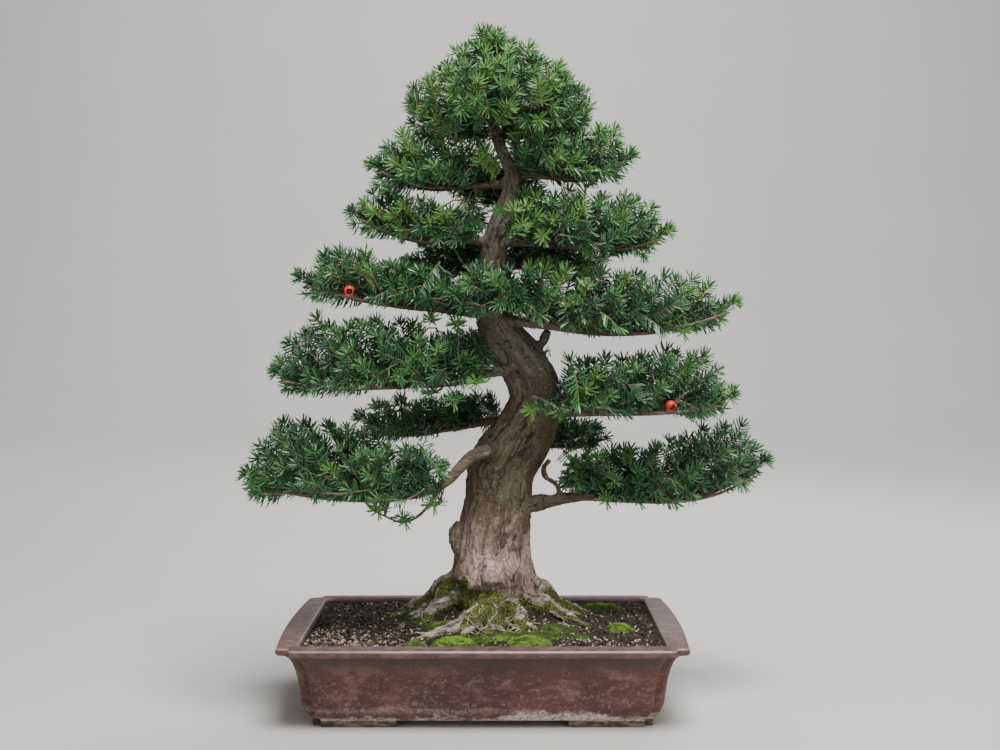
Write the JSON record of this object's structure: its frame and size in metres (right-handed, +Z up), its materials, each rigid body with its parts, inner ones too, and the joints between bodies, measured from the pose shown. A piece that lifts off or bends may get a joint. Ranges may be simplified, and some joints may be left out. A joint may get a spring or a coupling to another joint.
{
  "type": "japanese yew bonsai in a pot",
  "caption": "Informal upright yew bonsai with layered foliage pads, a flared root base and red arils, in a shallow rectangular unglazed pot on corner feet.",
  "frame": {"origin": "Under the middle of the whole outline, pot and branches together, on the plane that the pot's feet stand on.", "axes": "+Z up. +X to the right and +Y away from the viewer, who stands at the tree's front, square to the pot's long side."},
  "size_m": [0.6178, 0.3664, 0.8032],
  "materials": {
    "clay": "unglazed purple-brown stoneware with a low sheen and lime deposits",
    "plastic_mesh": "moulded black mesh",
    "soil": "dark moist granular mix with pale grains",
    "bark": "rough grey-brown bark, flaking to pinkish tan",
    "foliage": "dark green needles with a satin upper side, on thin green to brown twigs",
    "moss": "soft bright green moss",
    "aril": "waxy red flesh",
    "seed": "smooth dark brown seed"
  },
  "bodies": {
    "root": {"pot": "clay", "drain_screen_left": "plastic_mesh", "drain_screen_right": "plastic_mesh", "soil": "soil", "trunk_and_branches": "bark", "moss_front_left": "moss", "moss_front_right": "moss", "moss_front_far_left": "moss", "moss_right": "moss", "moss_back_right": "moss", "aril_left": "aril", "seed_left": "seed", "aril_right": "aril", "seed_right": "seed", "foliage_low_left": "foliage", "foliage_low_right": "foliage", "foliage_back_low_left": "foliage", "foliage_back_low_right": "foliage", "foliage_middle_left": "foliage", "foliage_middle_right": "foliage", "foliage_back_middle": "foliage", "foliage_upper_left": "foliage", "foliage_upper_right": "foliage", "foliage_front_small": "foliage", "foliage_back_upper_left": "foliage", "foliage_back_upper_right": "foliage", "foliage_high_left": "foliage", "foliage_high_right": "foliage", "foliage_back_high": "foliage", "foliage_top_left": "foliage", "foliage_top_right": "foliage", "foliage_crown": "foliage"}
  },
  "joints": []
}
